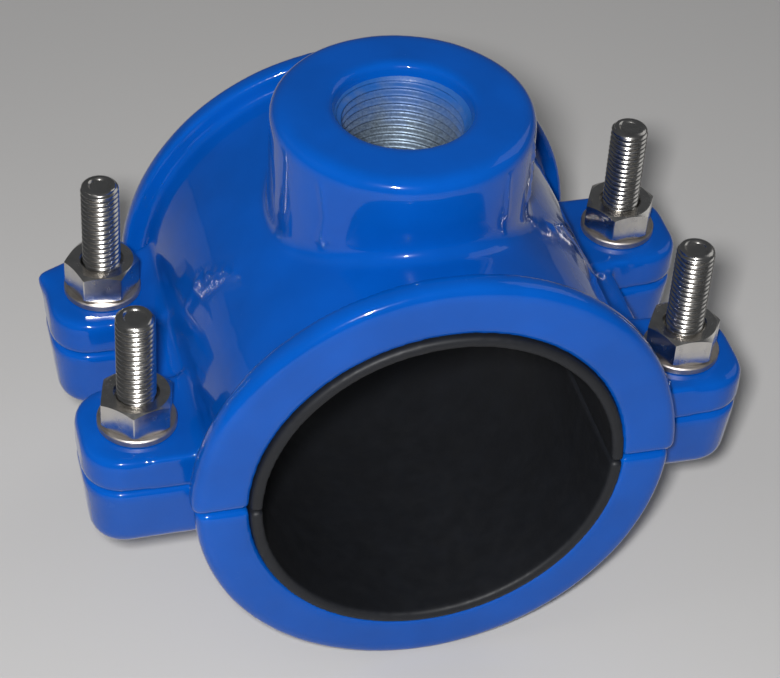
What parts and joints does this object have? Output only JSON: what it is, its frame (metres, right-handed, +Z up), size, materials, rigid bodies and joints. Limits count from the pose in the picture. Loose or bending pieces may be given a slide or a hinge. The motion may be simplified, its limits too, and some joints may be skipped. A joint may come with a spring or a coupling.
{
  "type": "branch saddle clamp",
  "caption": "Rubber-lined split saddle clamp that bolts round a pipe and gives it a threaded branch outlet; slackening the nuts lets the upper half lift.",
  "frame": {"origin": "middle of the pipe bore's axis, in the plane where the halves part", "axes": "+Y along the pipe bore, +Z up through the branch outlet, +X to the right-hand ears"},
  "size_m": [0.173, 0.1078, 0.1402],
  "materials": {
    "blue_epoxy": "thick gloss epoxy over ductile iron, slightly wavy, with small runs",
    "black_rubber": "smooth moulded rubber, low sheen",
    "stainless_steel": "bright stainless steel with rolled threads"
  },
  "bodies": {
    "lower_half": {"lower_shell": "blue_epoxy", "lower_liner": "black_rubber", "bolt_front_left": "stainless_steel", "bolt_front_right": "stainless_steel", "bolt_back_left": "stainless_steel", "bolt_back_right": "stainless_steel"},
    "upper_half": {"upper_shell": "blue_epoxy", "upper_liner": "black_rubber", "washer_front_left": "stainless_steel", "washer_front_right": "stainless_steel", "washer_back_left": "stainless_steel", "washer_back_right": "stainless_steel"},
    "front_left_nut": {"nut_front_left": "stainless_steel"},
    "front_right_nut": {"nut_front_right": "stainless_steel"},
    "back_left_nut": {"nut_back_left": "stainless_steel"},
    "back_right_nut": {"nut_back_right": "stainless_steel"}
  },
  "joints": [
    {"name": "upper_half_lift", "type": "slide", "parent": "lower_half", "child": "upper_half", "axis": [0, 0, 1], "range_m": [0, 0.0225]},
    {"name": "nut_front_left_turn", "type": "hinge", "parent": "upper_half", "child": "front_left_nut", "pos_m": [-0.0715, -0.0265, 0.0164], "axis": [0, 0, 1], "range_deg": [0, 5401]},
    {"name": "nut_front_right_turn", "type": "hinge", "parent": "upper_half", "child": "front_right_nut", "pos_m": [0.0715, -0.0265, 0.0164], "axis": [0, 0, 1], "range_deg": [0, 5401]},
    {"name": "nut_back_left_turn", "type": "hinge", "parent": "upper_half", "child": "back_left_nut", "pos_m": [-0.0715, 0.0265, 0.0164], "axis": [0, 0, 1], "range_deg": [0, 5401]},
    {"name": "nut_back_right_turn", "type": "hinge", "parent": "upper_half", "child": "back_right_nut", "pos_m": [0.0715, 0.0265, 0.0164], "axis": [0, 0, 1], "range_deg": [0, 5401]}
  ],
  "couplings": [
    {"joint": "nut_front_left_turn", "follows": "upper_half_lift", "rad_per_m": 4188.8},
    {"joint": "nut_front_right_turn", "follows": "upper_half_lift", "rad_per_m": 4188.8},
    {"joint": "nut_back_left_turn", "follows": "upper_half_lift", "rad_per_m": 4188.8},
    {"joint": "nut_back_right_turn", "follows": "upper_half_lift", "rad_per_m": 4188.8}
  ]
}
